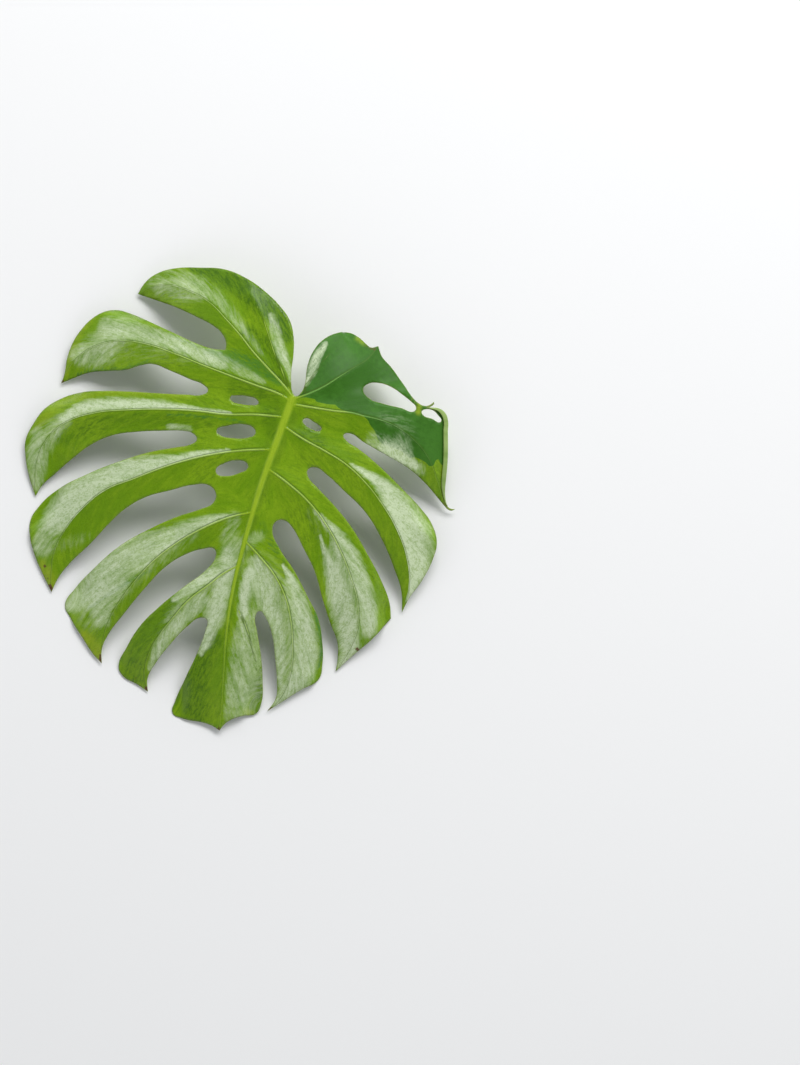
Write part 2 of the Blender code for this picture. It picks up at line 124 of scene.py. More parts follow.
# The outline in millimetres, lobe by lobe, from the sinus round the left lobes to the tip and back.
MARGIN = (
    # left basal lobe
    (-7, 22), (-11, 42), (-13, 66), (-20, 97), (-31, 119), (-50, 137), (-78, 155), (-112, 170),
    (-150, 177.5), (-190, 172.5), (-230, 163.5), (-258, 149), (-273, 132), (-281, 112, CORNER),
    (-255, 108.5), (-215, 102.5), (-175, 93), (-148, 85), (-131, 75), (-122, 62), (-120.5, 51.5, CORNER),
    # first left lobe
    (-138, 49), (-165, 51.5), (-205, 60.5), (-250, 71), (-285, 78.7), (-310, 79.5), (-328, 71),
    (-345, 55), (-357, 36), (-366, 12), (-369.5, -15), (-368.5, -38), (-371, -54, CORNER),
    (-352, -41.5), (-330, -28.5), (-300, -19.5), (-270, -11.5), (-250, -1), (-231, 5.5), (-200, 1),
    (-165, -6), (-142, -10.5), (-134, -17.5),
    # second left lobe
    (-142, -26), (-165, -30.5), (-205, -37), (-250, -43.5), (-300, -52.5), (-340, -63.5), (-366, -78),
    (-386, -98), (-400, -127), (-407, -155), (-402, -180), (-390, -210), (-373, -240, CORNER),
    (-366, -221), (-350, -199), (-325, -167), (-300, -140), (-270, -119), (-230, -104.5),
    (-190, -94.5), (-158, -88), (-143, -89), (-135, -97),
    # third left lobe
    (-142, -106), (-165, -116), (-200, -130), (-250, -157), (-300, -190), (-345, -227), (-364, -254),
    (-373, -279), (-368, -304), (-353, -334), (-334, -361), (-315.5, -384.5, CORNER),
    (-309, -360), (-296, -334), (-270, -297), (-240, -249), (-222, -226), (-195, -203), (-160, -185),
    (-125, -168.5), (-101, -164), (-87.5, -174),
    # fourth left lobe
    (-88, -189), (-107, -204), (-140, -223), (-180, -252), (-220, -287), (-255, -332), (-279, -370),
    (-290, -401), (-277, -419), (-250, -447), (-230, -467), (-212.5, -479.5, CORNER),
    (-216.5, -458), (-211, -432), (-193, -394), (-167, -345), (-140, -303), (-115, -279.5),
    (-90, -265), (-71, -261), (-67, -273),
    # fifth left lobe
    (-79, -298), (-105, -328), (-140, -371), (-163, -406), (-178, -445), (-185, -479), (-176, -491.5),
    (-148, -501), (-130.5, -508.5, CORNER),
    (-135, -488), (-127, -460), (-108, -422), (-88, -390), (-70, -372.5), (-60, -374),
    # tip lobe
    (-59, -392), (-65, -430), (-75, -471), (-84.5, -513), (-84.5, -534), (-68, -538.5), (-30, -538),
    (-17, -540), (-5, -544.5, CORNER),
    (4, -529), (25, -514.5), (46, -506.5), (51.5, -488), (46, -450), (35, -410), (22, -375),
    (14.5, -352), (19, -342.5),
    # fifth right lobe
    (30, -350), (46, -375), (58, -410), (68, -445), (72.5, -474), (63.5, -498.5, CORNER),
    (83, -479), (110, -452.5), (133, -431.5), (134, -405), (127, -372), (113, -335), (90, -305),
    (60, -268), (30, -238), (13, -213), (15, -198), (28, -193),
    # fourth right lobe
    (43, -202), (65, -228), (90, -260), (112, -301), (133, -339), (150, -366), (156, -392),
    (157, -413, CORNER),
    (178, -383), (203, -350), (226, -311, CORNER),
    (219, -288), (200, -257), (170, -220), (135, -182), (100, -153), (68, -131), (50, -117),
    (47.5, -107), (58, -100.5), (78, -108),
    # third right lobe
    (110, -127), (150, -153), (185, -190), (215, -233), (233, -265), (241, -298, CORNER),
    (247, -275), (262, -240), (272, -200), (272, -176), (258, -149), (235, -128), (200, -104.5),
    (155, -76), (118, -57), (97, -48.5), (91, -41), (99, -36.5),
    # second right lobe, ending in a thin tail
    (125, -45.5), (165, -58), (205, -71.5), (232, -86.5), (262, -109), (271, -116), (278.5, -121),
    (285, -121.3), (289.5, -117.5, CORNER),
    (283.5, -118.6), (276, -115.5), (270, -106), (265.5, -92), (262, -68), (259, -45), (254, -20),
    (249.5, 0), (246, 17), (240, 26.5), (230, 31.5), (219, 31), (212.5, 30.2, CORNER),
    # right basal lobe, from its thin tail back to the sinus
    (217, 33.5), (220.8, 38.5), (220, 42, CORNER),
    (217.5, 38.5), (212.5, 34), (206, 32), (198, 33.5), (188.5, 38.5), (163, 62), (141, 82), (124, 94.5),
    (120, 100), (114.5, 110.2, CORNER),
    (103, 105.2), (96, 108.5), (80, 117.5), (64, 121), (45, 114.5), (28, 100), (17, 80), (12.5, 57),
    (13, 42), (14.6, 27), (11, 9), (4.5, 2.8), (-2, 8),
)

# The holes in millimetres: three left of the midrib, one right of it, and two that a thin strip closes.
HOLES = (
    ((-97, -20), (-88, -16), (-70, -13.5), (-56, -15), (-51, -21), (-60, -25.5), (-78, -27.5), (-93, -26)),
    ((-107, -77), (-92, -66), (-65, -58), (-49, -61.5), (-46, -69), (-58, -78), (-80, -83), (-98, -83)),
    ((-95, -138), (-84, -125), (-65, -116), (-50, -116.5), (-46, -123), (-58, -135), (-78, -144),
     (-91, -144)),
    ((23.5, -32), (29, -27.3), (38, -30), (50, -34.5), (55, -39), (51, -44), (41, -43), (29, -39)),
    ((106, 37), (112, 47), (130, 52.5), (148, 50.5), (168, 42), (186, 33), (194, 27), (193, 20.5),
     (170, 20.5), (140, 21), (118, 24.5)),
    ((204, 22), (208, 26.5), (221, 28), (230, 23), (237.5, 13.5), (222, 14.8), (208, 17)),
)

# The veins in millimetres. A side vein also says how far along it its lobe comes free, and its tip's height.
VEINS = {
    "midrib": (((0, -2), (-4, -30), (-8, -60), (-15, -110), (-20, -150), (-24, -200), (-27, -250),
        (-29, -300), (-28, -350), (-24, -400), (-17, -450), (-10, -500), (-5, -543)), None, None),
    "left_basal": (((-2, 2), (-20, 17), (-50, 38), (-80, 60), (-100, 77), (-130, 99), (-160, 119),
        (-200, 132), (-240, 134), (-268, 122), (-280, 112)), 130, 6),
    "left_1": (((-4, -6), (-20, 0), (-60, 6), (-100, 12), (-150, 20), (-200, 29), (-240, 34), (-280, 33),
        (-320, 20), (-350, -5), (-365, -33), (-370, -53)), 130, 4),
    "left_2": (((-8, -34), (-50, -39), (-100, -49), (-140, -52.5), (-200, -62), (-260, -76), (-300, -88),
        (-350, -116), (-372, -145), (-381, -180), (-378, -215), (-373, -239)), 140, 2),
    "left_3": (((-12, -87), (-60, -99), (-100, -113), (-140, -131), (-180, -153), (-220, -179),
        (-260, -205), (-290, -240), (-312, -280), (-323, -320), (-321, -355), (-316, -383)), 140, 3),
    "left_4": (((-22, -190), (-60, -208), (-100, -236), (-130, -263), (-160, -297), (-182, -332),
        (-200, -368), (-212, -402), (-217, -435), (-216, -460), (-213, -478)), 95, 3),
    "left_5": (((-28, -278), (-50, -297), (-65, -315), (-95, -350), (-115, -385), (-130, -415),
        (-140, -445), (-142, -475), (-137, -495), (-131, -507)), 85, 2),
    "right_5": (((-26, -238), (5, -260), (30, -281), (55, -313), (70, -345), (80, -378), (86, -410),
        (86, -445), (78, -475), (64, -497)), 105, 3),
    "right_4": (((-16, -118), (20, -134), (60, -157), (95, -187), (125, -222), (150, -260), (170, -300),
        (177, -335), (172, -370), (158, -410)), 70, 2),
    "right_3": (((-6, -47), (30, -61), (70, -73), (105, -86), (140, -107), (170, -132), (205, -170),
        (232, -215), (243, -255), (241, -296)), 80, 3),
    "right_2": (((2, -11), (40, -9), (70, -7), (97, -4), (116, -5), (141, -5.5), (168, -10), (200, -24),
        (230, -48), (252, -80), (268, -108)), 105, 16),
    "right_basal": (((5, -1), (27, 13), (46, 28), (65, 47), (82, 64), (102, 84), (114, 108)), 60, 40),
}

# Thin veins that make a fold but no lobe, one in each basal lobe, and then all thin veins that are coloured.
INNER_FOLDS = (
    ((-5, 6), (-20, 30), (-40, 58), (-55, 82), (-68, 105), (-84, 127), (-102, 147)),
    ((11, 12), (13.5, 40), (14.5, 66), (24, 92)),
)
FINE_VEINS = (
    INNER_FOLDS[0],
    ((11, 8), (20, 30), (30, 54), (42, 81)),
    ((-13, -349), (3, -371), (16, -396), (28, -421), (37, -445)),
)

# The stalk's centre line in millimetres, as (x, y, height, radius): from the cut end under the midrib, up to
# the swollen knee below the sinus, and over into the midrib.
STALK = ((-26, -305, 6.5, 6.5), (-20, -235, 6.4, 6.4), (-13, -170, 6.6, 6.3), (-8, -125, 9, 6.2),
         (-4, -88, 16, 6.2), (-1, -60, 27, 6.3), (1, -38, 42, 6.6), (2.5, -19, 58, 7.2), (3, -8, 71, 7.4),
         (1, -10, 82, 7), (-2, -22, 84.5, 5.6), (-4, -36, 85.5, 4))

# --- Where the colours lie, in millimetres ---

BASE, TIP = 1, -1  # the flank of a lobe that faces the leaf's base, and the one that faces its tip

# Tones brushed on the blade: strength, the brush's line as (x, y, half its width), and for some strokes the
# vein and flank that they keep to.
PAINTED_SHEEN_STROKES = (  # painted sheen: a pale highlight colour where the lobes catch the light
    # left basal lobe
    (0.24, ((-60, 57, 4), (-100, 90, 8), (-140, 122, 13), (-170, 138, 16),
        (-200, 138, 20)), "left_basal", BASE),
    (0.28, ((-175, 130, 12), (-210, 128, 20), (-245, 126, 14))),
    (0.25, ((-185, 150, 14), (-240, 145, 18), (-262, 133, 10))),
    (0.5, ((-8, 25, 3), (-20, 50, 8), (-36, 70, 10), (-48, 95, 9), (-60, 120, 6))),
    # first left lobe
    (0.35, ((-50, 14, 5), (-100, 28, 12), (-140, 36, 14)), "left_1", BASE),
    (0.62, ((-120, 30, 9), (-180, 41, 13), (-240, 47, 14), (-285, 50, 18), (-315, 52, 16)), "left_1", BASE),
    (0.42, ((-300, 40, 22), (-325, 8, 26), (-350, -4, 18))),
    # second left lobe
    (1.0, ((-90, -46, 3), (-160, -52, 5), (-210, -58, 8), (-260, -66, 9), (-300, -75, 11),
        (-330, -89, 11), (-352, -110, 8)), "left_2", BASE),
    (0.45, ((-150, -83, 6), (-182, -86, 6))),
    (0.25, ((-390, -140, 10), (-384, -165, 14), (-376, -195, 14), (-372, -218, 9))),
    # third left lobe
    (1.0, ((-80, -104, 3), (-120, -118, 6), (-160, -136, 9), (-190, -148, 14), (-240, -173, 20),
        (-280, -202, 26), (-310, -236, 30), (-332, -268, 22)), "left_3", BASE),
    (0.15, ((-275, -285, 10), (-300, -300, 14), (-335, -318, 11))),
    (0.4, ((-345, -290, 18), (-350, -320, 12))),
    # fourth left lobe
    (0.7, ((-45, -203, 4), (-80, -215, 9), (-120, -242, 16), (-160, -272, 24), (-200, -302, 31),
        (-235, -338, 30), (-262, -376, 22), (-280, -400, 12)), "left_4", BASE),
    (0.55, ((-205, -350, 12), (-230, -380, 24), (-225, -410, 14))),
    # fifth left lobe
    (0.8, ((-48, -262, 10), (-45, -288, 16), (-75, -310, 13), (-102, -336, 8), (-118, -352, 5))),
    (0.55, ((-72, -345, 12), (-95, -378, 9), (-115, -410, 10), (-128, -440, 8),
        (-134, -470, 5)), "left_5", TIP),
    # tip lobe, and both sides of the midrib above it
    (0.3, ((-50, -205, 12), (-45, -245, 18), (-5, -225, 10))),
    (1.0, ((-8, -285, 9), (-9, -320, 10), (-6, -352, 8))),
    (0.9, ((-46, -320, 14), (-50, -365, 14), (-54, -400, 9), (-60, -428, 5))),
    (0.25, ((-4, -370, 12), (4, -400, 16), (10, -430, 20), (13, -460, 21), (12, -484, 16))),
    # fifth right lobe
    (0.75, ((-2, -268, 12), (14, -296, 25), (32, -328, 20), (54, -368, 12), (66, -408, 10), (74, -450, 6))),
    (0.8, ((40, -262, 1), (62, -287, 8), (85, -330, 14), (102, -372, 17), (110, -412, 18),
        (98, -446, 18), (84, -468, 11), (74, -488, 5))),
    # fourth right lobe
    (0.75, ((70, -166, 1), (92, -182, 5), (114, -198, 11), (140, -226, 16), (166, -262, 16),
        (186, -300, 14), (196, -336, 12))),
    (0.9, ((88, -205, 1), (104, -232, 5), (122, -262, 13), (142, -300, 20), (160, -340, 19),
        (170, -374, 16), (163, -400, 8))),
    # third right lobe
    (1.0, ((112, -83, 1), (136, -92, 5), (160, -102, 10), (190, -125, 20), (222, -166, 33),
        (242, -206, 30), (247, -242, 18), (244, -272, 8)), "right_3", BASE),
    # second right lobe and right basal lobe
    (0.95, ((158, -46, 10), (174, -51, 14), (196, -58, 10), (214, -64, 6))),
    (0.16, ((148, 0, 14), (180, -4, 18), (188, -30, 22))),
    (0.85, ((16, 24, 4), (20, 45, 8), (22, 65, 8), (29, 86, 6), (33, 96, 3))),
    # a fainter, broader painted sheen round those
    (0.15, ((-150, 27, 14), (-220, 35, 26), (-280, 30, 38), (-330, 10, 32))),
    (0.18, ((-200, -55, 14), (-300, -85, 20), (-350, -120, 18)), "left_2", BASE),
    (0.35, ((-352, -112, 14), (-378, -150, 24), (-384, -190, 20), (-374, -225, 8))),
    (0.15, ((-180, -146, 14), (-260, -205, 34), (-310, -275, 40), (-340, -320, 20)), "left_3", BASE),
    (0.22, ((-110, -245, 12), (-160, -285, 34), (-225, -350, 46), (-245, -410, 26))),
    (0.3, ((-40, -270, 24), (-80, -330, 20), (-106, -380, 22), (-122, -440, 16))),
    (0.35, ((-38, -290, 14), (-48, -360, 20), (-52, -410, 10))),
    (0.36, ((4, -350, 14), (14, -410, 30), (22, -460, 36), (18, -506, 28))),
    (0.4, ((56, -292, 10), (76, -340, 16), (88, -385, 18), (88, -425, 14))),
    (0.3, ((150, -245, 10), (176, -290, 14), (190, -325, 14))),
    (0.12, ((4, -250, 20), (40, -305, 40), (80, -370, 40), (92, -440, 34))),
    (0.5, ((112, -214, 8), (132, -255, 12), (150, -295, 12), (168, -335, 12))),
    (0.12, ((66, -168, 10), (120, -235, 28), (160, -310, 40), (178, -360, 24))),
    (0.12, ((120, -88, 8), (200, -150, 32), (246, -215, 30), (246, -265, 10)), "right_3", BASE),
    (0.35, ((140, -40, 16), (180, -50, 22), (220, -70, 12))),
)
DEEP_GREEN_AND_SHADE_STROKES = (  # darker, more saturated green: partly the leaf's own darker streaks, partly painted shade on flanks and margins that face away from the light
    (1.0, ((-200, 170, 8), (-150, 166, 16), (-90, 145, 22), (-50, 118, 18), (-26, 90, 8))),
    (0.55, ((-90, 85, 14), (-60, 70, 14), (-25, 28, 8))),
    (0.45, ((-90, -2, 16), (-40, -12, 18), (-20, -60, 12))),
    (0.28, ((-120, -65, 10), (-200, -78, 14), (-280, -100, 16), (-350, -140, 14)), "left_2", TIP),
    (0.4, ((-118, -365, 16), (-140, -400, 22), (-158, -450, 26), (-160, -485, 20)), "left_5", BASE),
    (0.68, ((-42, -400, 14), (-58, -450, 24), (-60, -500, 28), (-50, -530, 24))),
    (0.6, ((42, -400, 5), (46, -450, 8), (44, -495, 10))),
    (0.5, ((30, -50, 14), (60, -60, 10))),
    (0.25, ((55, -160, 5), (90, -215, 8), (115, -260, 8), (140, -315, 6))),
)
TEAL_STROKES = (  # blue-green mottling
    (0.6, ((-150, 40, 8), (-105, 42, 16), (-60, 32, 14), (-25, 16, 5))),
    (0.45, ((-215, 56, 4), (-160, 45, 5))),
    (0.5, ((-345, -34, 6), (-310, -22, 6), (-270, -10, 6), (-235, 10, 6))),
    (0.35, ((-4, -205, 8), (14, -228, 14), (40, -252, 8))),
    (0.8, ((108, -326, 5), (122, -356, 6), (130, -392, 5), (129, -412, 3))),
    (0.55, ((-64, -54, 2), (-120, -58, 3), (-190, -68, 3))),
    (0.6, ((-165, -316, 3), (-200, -346, 5), (-250, -396, 3))),
    (0.22, ((95, -195, 3), (130, -232, 5), (150, -280, 4))),
)
YELLOW_STROKES = (  # yellowing
    (0.45, ((-345, 60, 6), (-362, 20, 8), (-366, -20, 7), (-366, -40, 5))),
    (0.4, ((-165, -33, 5), (-300, -57, 8), (-370, -92, 10), (-392, -130, 8))),
    (0.5, ((-150, -112, 4), (-230, -148, 7))),
    (0.9, ((-340, -345, 9), (-326, -362, 14), (-318, -378, 12))),
    (0.9, ((-250, -442, 10), (-232, -455, 14), (-216, -470, 10))),
    (0.8, ((30, -507, 7), (38, -506, 5))),
    (0.6, ((80, 115, 5), (92, 109, 4))),
    (0.9, ((198, 32, 5), (199, 20, 5))),
)
BROWN_STROKES = (  # dead tissue
    (1.0, ((-316, -385, 6), (-320, -376, 4))),
    (0.7, ((-335, -345, 3), (-334, -347, 3))),
    (0.7, ((-325, -362, 3), (-324, -364, 3))),
    (0.95, ((-213, -480, 6), (-216, -468, 3))),
    (0.9, ((-131, -509, 5), (-134, -503, 3))),
    (0.55, ((-153, -490, 3), (-155, -491, 3))),
    (0.6, ((-5, -545, 5), (-8, -539, 3))),
    (0.6, ((63, -499, 5), (68, -492, 3))),
    (0.7, ((183, -370, 4), (187, -372, 3))),
    (0.45, ((109, 104, 7), (95, 108, 6))),
    (0.7, ((-371, -54, 4), (-369, -50, 3))),
)
STROKES = {"painted_sheen": PAINTED_SHEEN_STROKES, "deep_green_and_shade": DEEP_GREEN_AND_SHADE_STROKES, "teal": TEAL_STROKES,
           "yellow": YELLOW_STROKES, "brown": BROWN_STROKES}
BRUSH_EDGE = (0.25, 1.45)  # where a stroke starts to fade and where it ends, in half widths
PAINTED_SHEEN_START = (0.6, 3 * MM)  # half widths from the midrib where the painted sheen starts, and how soon it is full

# The dark green sector: everything above this line, out to the margin, round the right basal lobe.
SECTOR = (
    (10, 1), (20, 4.5), (35, 4.6), (38, 1), (56, 1), (69, 3), (74, -1), (82, -3), (88, -4), (116, -5),
    (125, -11), (128, -15.5), (137, -23.5), (142, -30), (144.5, -35.4), (154, -42), (173, -44),
    (185, -46), (202.5, -54.6), (207.6, -50.6), (217, -52), (227, -55), (234, -60), (241, -57.6),
    (242, -49), (246, -45), (252, -53), (258, -55), (300, -55), (300, 150), (5, 150), (5, 6),
)
VEIN_SHOW = {"midrib": (1, 0.7), "side": (0.8, 0.68)}  # how clear a vein's colour is, and how much fades
# Shares of a vein's length between which it fades, and those of every other vein.
VEIN_FADE = {"midrib": (0.6, 0.82), "right_basal": (0.4, 0.75), "right_2": (0.35, 0.55)}
SIDE_FADE = (0.35, 0.8)
SEAM_WIDTH = 10 * MM  # width of the calm strip on both sides of a valley

# --- Lines and distances ---


def bezier_handles(before, here, after, sharp):
    """Handle offsets that run smoothly through a point, or a third of the way to its neighbours if sharp."""
    back, ahead = before - here, after - here
    if sharp:
        return back / 3, ahead / 3
    along = (ahead.normalized() - back.normalized()).normalized()
    return -along * back.length * SMOOTH_HANDLE, along * ahead.length * SMOOTH_HANDLE


def smooth_line(points, step, closed=False):
    """Points about a step apart on the smooth curve through points in millimetres, as an array in metres."""
    knots = [Vector(p[:2]) * MM for p in points]
    count = len(knots)
    handles = []
    for i, knot in enumerate(knots):
        before = knots[i - 1] if closed or i else 2 * knot - knots[1]
        after = knots[(i + 1) % count] if closed or i < count - 1 else 2 * knot - knots[-2]
        handles.append(bezier_handles(before, knot, after, points[i][-1] == CORNER))
    line = []
    for i in range(count if closed else count - 1):
        j = (i + 1) % count
        start, end = knots[i], knots[j]
        pieces = max(1, round((end - start).length / step))
        curve = interpolate_bezier(start, start + handles[i][1], end + handles[j][0], end, pieces + 1)
        line += [p.to_2d() for p in curve[:-1]]
    if not closed:
        line.append(knots[-1])
    return np.array([tuple(p) for p in line])


def batches(points):
    """The points' numbers, in parts that make tables of a fair size."""
    return np.array_split(np.arange(len(points)), max(1, len(points) // BATCH))


def nearest_on_line(points, line):
    """Each point's distance to a line, how far along it that is, and +1 to its left or -1 to its right."""
    starts, runs = line[:-1], np.diff(line, axis=0)
    lengths = np.linalg.norm(runs, axis=1)
    before = np.concatenate([[0], np.cumsum(lengths)[:-1]])
    found = []
    for part in batches(points):
        away = points[part][:, None, :] - starts
        share = np.clip((away * runs).sum(axis=2) / lengths**2, 0, 1)
        distance = np.linalg.norm(away - share[:, :, None] * runs, axis=2)
        nearest = distance.argmin(axis=1)
        rows = np.arange(len(part))
        cross = runs[nearest, 0] * away[rows, nearest, 1] - runs[nearest, 1] * away[rows, nearest, 0]
        along = before[nearest] + share[rows, nearest] * lengths[nearest]
        found.append(np.stack([distance[rows, nearest], along, np.where(cross >= 0, 1, -1)]))
    return np.concatenate(found, axis=1)


def inside(points, loops):
    """Which points lie inside closed lines: those with an odd number of crossings on one side."""
    crossings = np.zeros(len(points), int)
    for start in loops:
        end = np.roll(start, -1, axis=0)
        rise = np.where(end[:, 1] == start[:, 1], 1, end[:, 1] - start[:, 1])
        for part in batches(points):
            x, y = points[part, :1], points[part, 1:2]
            spans = (start[:, 1] > y) != (end[:, 1] > y)
            cross = start[:, 0] + (y - start[:, 1]) * (end[:, 0] - start[:, 0]) / rise
            crossings[part] += (spans & (x < cross)).sum(axis=1)
    return crossings % 2 == 1


def smooth_step(value, low, high):
    share = np.clip((value - low) / (high - low), 0, 1)
    return share * share * (3 - 2 * share)


def form_of(name):
    return "midrib" if name == "midrib" else "side"


def tapered(ends, share):
    return ends[1] + (ends[0] - ends[1]) * np.clip(1 - share, 0, 1) ** TAPER_POWER


class Plan:
    """Points of the plan, with their place beside every vein."""

    def __init__(self, points, margin_distance):
        self.points = points
        self.margin_distance = margin_distance
        self.aside, self.along, self.flank, self.half = {}, {}, {}, {}
        self.length, self.progress = {}, {}
        for name, (knots, _, _) in VEINS.items():
            line = smooth_line(knots, LINE_STEP)
            aside, along, left = nearest_on_line(points, line)
            self.length[name] = np.linalg.norm(np.diff(line, axis=0), axis=1).sum()
            self.aside[name], self.along[name] = aside, along
            self.flank[name] = -left if name.startswith("left") else left
            self.progress[name] = along / self.length[name]
            self.half[name] = tapered(VEIN_HALF[form_of(name)], self.progress[name])
        stacked = np.array(list(self.aside.values()))
        share = np.exp(-(stacked - stacked.min(axis=0)) / BLEND_WIDTH)
        self.share = dict(zip(VEINS, share / share.sum(axis=0)))
        self.nearest = stacked.argmin(axis=0)
        ordered = np.sort(stacked, axis=0)
        self.seam = ordered[1] - ordered[0]

    def of_nearest(self, values):
        """What each point's nearest vein has there, from one array for every vein."""
        return np.array(list(values))[self.nearest, np.arange(len(self.points))]


# --- Height of the blade ---


def arch_height(points):
    """Height of the arch alone: down along the midrib towards the tip, and down to both sides of it."""
    aside, along, _ = nearest_on_line(points, smooth_line(VEINS["midrib"][0], LINE_STEP))
    fall = SIDE_FALL * aside**2 / (aside + SIDE_REACH)
    return SINUS_HEIGHT * (1 - (along / ARCH_LENGTH) ** ARCH_POWER) - fall


def blade_height(plan):
    """Height of the blade's upper face as the CAD model has it."""
    sag = np.zeros(len(plan.points))
    for name, (knots, free_from, tip_height) in VEINS.items():
        if name == "midrib":
            continue
        tip = smooth_line(knots, LINE_STEP)[-1:]
        drop = arch_height(tip)[0] - tip_height * MM
        free = (plan.along[name] - free_from * MM) / (plan.length[name] - free_from * MM)
        sag += plan.share[name] * drop * np.clip(free, 0, None) ** 2
    ridges = list(plan.aside.values())
    ridges += [nearest_on_line(plan.points, smooth_line(fold, LINE_STEP))[0] for fold in INNER_FOLDS]
    fold = -VALLEY_ROUND * np.log(np.exp(-np.array(ridges) / VALLEY_ROUND).sum(axis=0))
    fall = RIDGE_SLOPE * RIDGE_REACH * (1 - np.exp(-np.clip(fold, 0, None) / RIDGE_REACH))
    height = arch_height(plan.points) - sag - fall
    return (height + np.sqrt(height**2 + 4 * REST_ROUND**2)) / 2


def vein_relief(plan):
    """What the veins add to the upper face: a low dome, with a furrow on both sides."""
    dome = np.zeros(len(plan.points))
    furrow = np.zeros(len(plan.points))
    start, deepest, end = FURROW_PLACE
    for name in VEINS:
        out = plan.aside[name] / plan.half[name]
        height = tapered(VEIN_DOME[form_of(name)], plan.progress[name])
        dome = np.maximum(dome, height * np.clip(1 - out**2, 0, None) ** DOME_POWER)
        depth = 1 - smooth_step(plan.progress[name], *FURROW_FADE)
        depth *= smooth_step(out, start, deepest)
        depth *= 1 - smooth_step(out, deepest, end)
        furrow = np.maximum(furrow, depth)
    return dome - FURROW_DEPTH * furrow * (dome < FLAT_DOME)


def streak_place(plan):
    """The pattern's own coordinates: across and along the lateral veins, and a number for the flank."""
    aside, along, flank = (plan.of_nearest(rows.values()) for rows in (plan.aside, plan.along, plan.flank))
    across = math.cos(STREAK_ANGLE) * aside - math.sin(STREAK_ANGLE) * along
    outward = math.cos(STREAK_ANGLE) * along + math.sin(STREAK_ANGLE) * aside
    return np.stack([across, outward, plan.nearest + FLANK_SHIFT * flank], axis=1)


def skin_relief(plan):
    """Soft pleats between the lateral veins, and long waves towards the margin."""
    across, _, patch = streak_place(plan).T
    calm = smooth_step(plan.seam, 0, CALM_SEAM) * smooth_step(plan.margin_distance, 0, CALM_MARGIN)
    relief = np.zeros(len(plan.points))
    for i, (x, y) in enumerate(plan.points):
        drift = noise.noise(Vector((x, y, 0)) / DRIFT_PITCH)
        phase = 2 * math.pi * (across[i] / PLEAT_PITCH + PLEAT_DRIFT * drift)
        relief[i] = PLEAT_HEIGHT * calm[i] * math.sin(phase + patch[i])
        wave = noise.noise(Vector((x, y, WAVE_LAYER)) / WAVE_PITCH)
        relief[i] += WAVE_HEIGHT * wave * max(0, 1 - plan.margin_distance[i] / WAVE_REACH) ** 2
    return relief


def rib_depth(plan):
    """Thickness of the blade at each point, with the ribs that stand out below it."""
    depth = np.full(len(plan.points), BLADE_THICKNESS)
    more, beyond = RIB_HALF
    for name in VEINS:
        peak = tapered((RIB_DEPTH[form_of(name)], BLADE_THICKNESS), plan.progress[name])
        out = plan.aside[name] / (more * plan.half[name] + beyond)
        rib = (peak - BLADE_THICKNESS) * np.sqrt(np.clip(1 - out**2, 0, 1))
        depth = np.maximum(depth, BLADE_THICKNESS + rib)
    return depth


# --- Tones ---


def tone(kind, plan):
    """How strongly a tone shows at each point, from 0 to 1."""
    clear = np.ones(len(plan.points))
    for strength, brush, *keeps_to in STROKES[kind]:
        line = smooth_line(brush, LINE_STEP)
        distance, along, _ = nearest_on_line(plan.points, line)
        knots = nearest_on_line(np.array([p[:2] for p in brush]) * MM, line)[1]
        half = np.interp(along, knots, [p[2] * MM for p in brush])
        cover = 1 - smooth_step(distance / half, *BRUSH_EDGE)
        if keeps_to:
            name, flank = keeps_to
            cover *= 1 - plan.share[name] * (plan.flank[name] != flank)
        clear *= 1 - strength * cover
    return 1 - clear


def sector_depth(plan):
    """Distance inside the dark sector, in millimetres, and below zero outside it."""
    line = np.array(SECTOR) * MM
    distance = nearest_on_line(plan.points, np.vstack([line, line[:1]]))[0] / MM
    return np.where(inside(plan.points, [line]), distance, -distance)


def vein_place(plan):
    """Distance from the nearest vein's middle, in half widths of that vein."""
    places = [plan.aside[name] / plan.half[name] for name in VEINS]
    for line in FINE_VEINS:
        aside, along, _ = nearest_on_line(plan.points, smooth_line(line, LINE_STEP))
        places.append(aside / (tapered(FINE_VEIN_HALF, along / along.max()) * MM))
    return np.min(places, axis=0)


def vein_show(plan):
    """How clearly the nearest vein is coloured: it fades along its way."""
    shown = []
    for name in VEINS:
        clearest, loss = VEIN_SHOW[form_of(name)]
        shown.append(clearest - loss * smooth_step(plan.progress[name], *VEIN_FADE.get(name, SIDE_FADE)))
    return plan.of_nearest(shown)


def put_attribute(mesh, name, values):
    kind, field = ("FLOAT_VECTOR", "vector") if np.ndim(values) == 2 else ("FLOAT", "value")
    attribute = mesh.attributes.new(name, kind, "POINT")
    attribute.data.foreach_set(field, np.asarray(values, np.float32).ravel())


# --- The blade's mesh ---


def outline_loops(step):
    """The margin and the holes as closed lines, with points about a step apart."""
    return [smooth_line(loop, step, closed=True) for loop in (MARGIN, *HOLES)]


def add_to_tree(tree, points, first=0):
    """Put points into a search tree, numbered from first."""
    for i, (x, y) in enumerate(points, first):
        tree.insert((x, y, 0), i)
    tree.balance()


def clearance(tree, point):
    """Distance from a point to the nearest one in a search tree."""
    return tree.find((*point, 0))[2]


